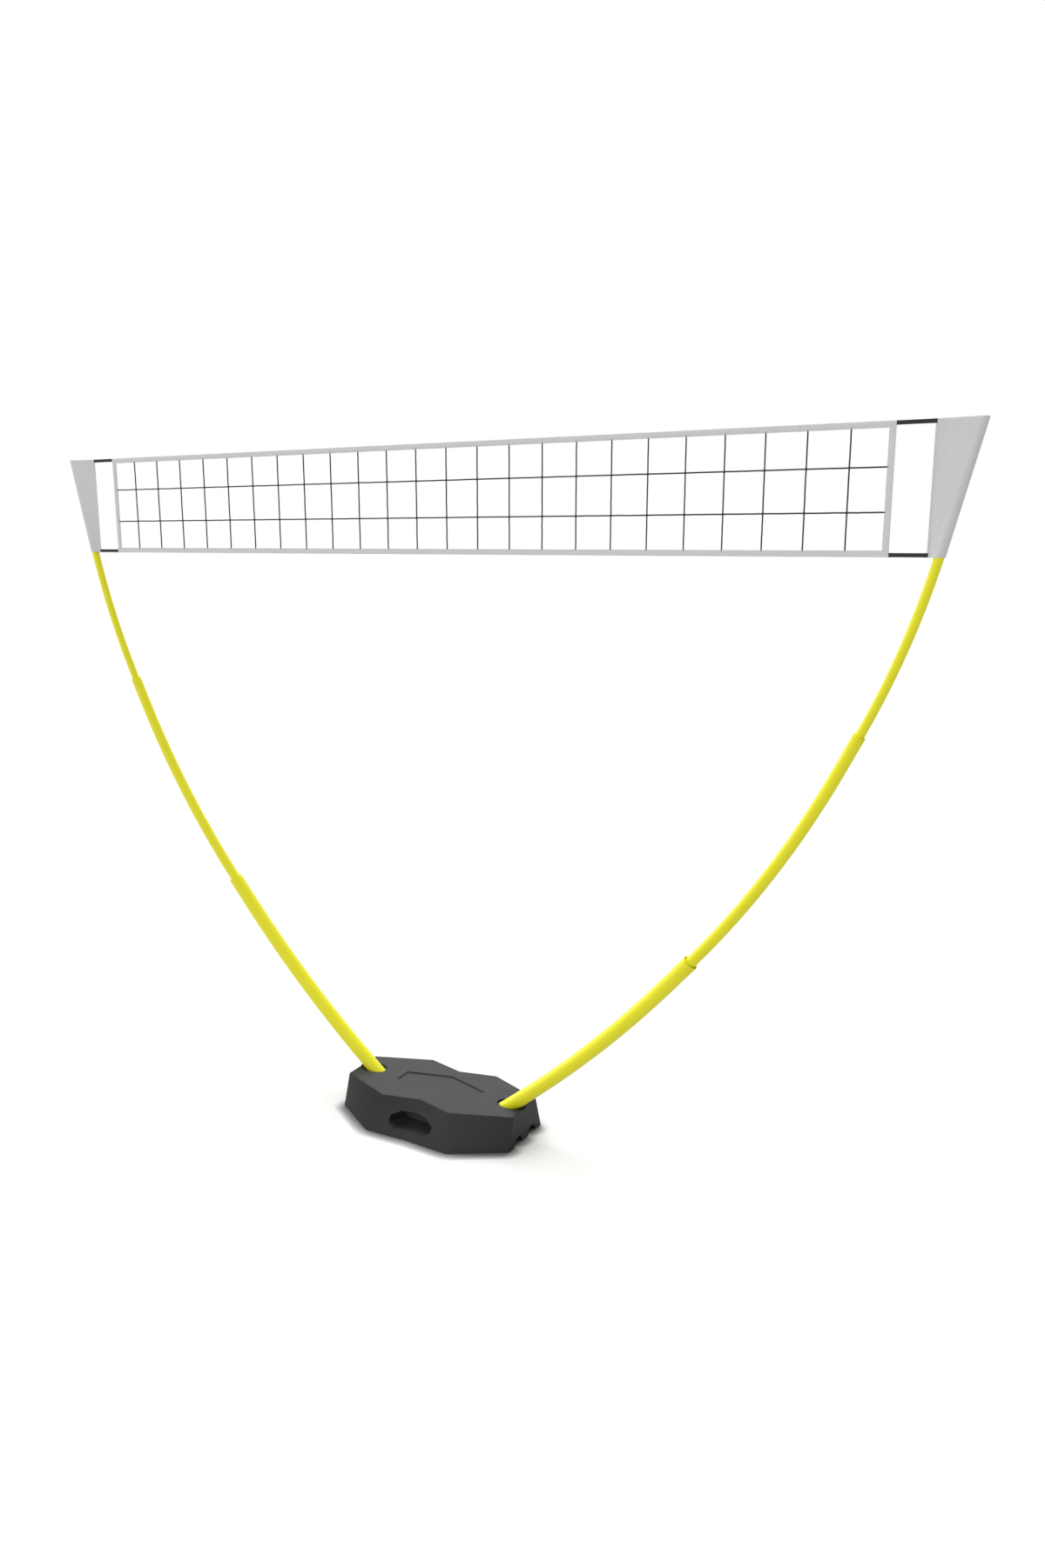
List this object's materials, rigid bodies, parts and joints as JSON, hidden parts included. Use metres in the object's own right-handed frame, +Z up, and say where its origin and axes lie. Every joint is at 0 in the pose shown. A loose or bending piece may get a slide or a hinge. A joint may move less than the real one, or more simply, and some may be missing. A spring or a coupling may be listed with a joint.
{
  "type": "volleyball net on poles",
  "caption": "Free-standing leisure volleyball net: two bowed three-piece poles plug into one weighted base and stretch a 2.5 m net between two fabric sleeves.",
  "frame": {"origin": "on the ground, under the middle of the base", "axes": "+X along the net towards the right-hand pole, +Y through the net towards the back, +Z up"},
  "size_m": [2.8924, 0.3878, 2.004],
  "materials": {
    "base_plastic": "fine-textured dark grey moulded plastic",
    "fitting_plastic": "smooth black moulded plastic",
    "ballast_iron": "rough cast",
    "screw_steel": "zinc plated",
    "pole_yellow": "yellow glass-fibre tube, satin",
    "net_tape": "light grey woven tape",
    "sleeve_cloth": "light grey woven cloth",
    "net_cord": "dark grey braided cord",
    "strap_elastic": "black woven elastic"
  },
  "bodies": {
    "base": {"base_shell": "base_plastic", "base_cover": "base_plastic", "cover_screws": "screw_steel", "ballast_left": "ballast_iron", "ballast_right": "ballast_iron", "socket_left": "fitting_plastic", "socket_right": "fitting_plastic"},
    "lower_pole_left": {"lower_tube_left": "pole_yellow", "lower_plug_left": "fitting_plastic", "lower_insert_left": "fitting_plastic"},
    "middle_pole_left": {"middle_tube_left": "pole_yellow", "middle_plug_left": "fitting_plastic", "middle_insert_left": "fitting_plastic"},
    "top_pole_left": {"top_tube_left": "pole_yellow", "top_plug_left": "fitting_plastic", "tip_cap_left": "fitting_plastic"},
    "sleeve_left": {"sleeve_left": "sleeve_cloth"},
    "lower_pole_right": {"lower_tube_right": "pole_yellow", "lower_plug_right": "fitting_plastic", "lower_insert_right": "fitting_plastic"},
    "middle_pole_right": {"middle_tube_right": "pole_yellow", "middle_plug_right": "fitting_plastic", "middle_insert_right": "fitting_plastic"},
    "top_pole_right": {"top_tube_right": "pole_yellow", "top_plug_right": "fitting_plastic", "tip_cap_right": "fitting_plastic"},
    "net": {"sleeve_right": "sleeve_cloth", "net_cords": "net_cord", "band_top": "net_tape", "band_bottom": "net_tape", "band_left": "net_tape", "band_right": "net_tape", "strap_top_left": "strap_elastic", "strap_bottom_left": "strap_elastic", "strap_top_right": "strap_elastic", "strap_bottom_right": "strap_elastic"}
  },
  "joints": [
    {"name": "lower_pole_pull_left", "type": "slide", "parent": "base", "child": "lower_pole_left", "axis": [-0.7749, 0, 0.632], "range_m": [0, 0.1]},
    {"name": "middle_pole_pull_left", "type": "slide", "parent": "lower_pole_left", "child": "middle_pole_left", "axis": [-0.6481, 0, 0.7615], "range_m": [0, 0.09]},
    {"name": "top_pole_pull_left", "type": "slide", "parent": "middle_pole_left", "child": "top_pole_left", "axis": [-0.4384, 0, 0.8988], "range_m": [0, 0.09]},
    {"name": "sleeve_pull_left", "type": "slide", "parent": "top_pole_left", "child": "sleeve_left", "axis": [-0.2317, 0, 0.9728], "range_m": [0, 0.3]},
    {"name": "lower_pole_pull_right", "type": "slide", "parent": "base", "child": "lower_pole_right", "axis": [0.7749, 0, 0.632], "range_m": [0, 0.1]},
    {"name": "middle_pole_pull_right", "type": "slide", "parent": "lower_pole_right", "child": "middle_pole_right", "axis": [0.6481, 0, 0.7615], "range_m": [0, 0.09]},
    {"name": "top_pole_pull_right", "type": "slide", "parent": "middle_pole_right", "child": "top_pole_right", "axis": [0.4384, 0, 0.8988], "range_m": [0, 0.09]},
    {"name": "sleeve_pull_right", "type": "slide", "parent": "top_pole_right", "child": "net", "axis": [0.2317, 0, 0.9728], "range_m": [0, 0.3]}
  ]
}
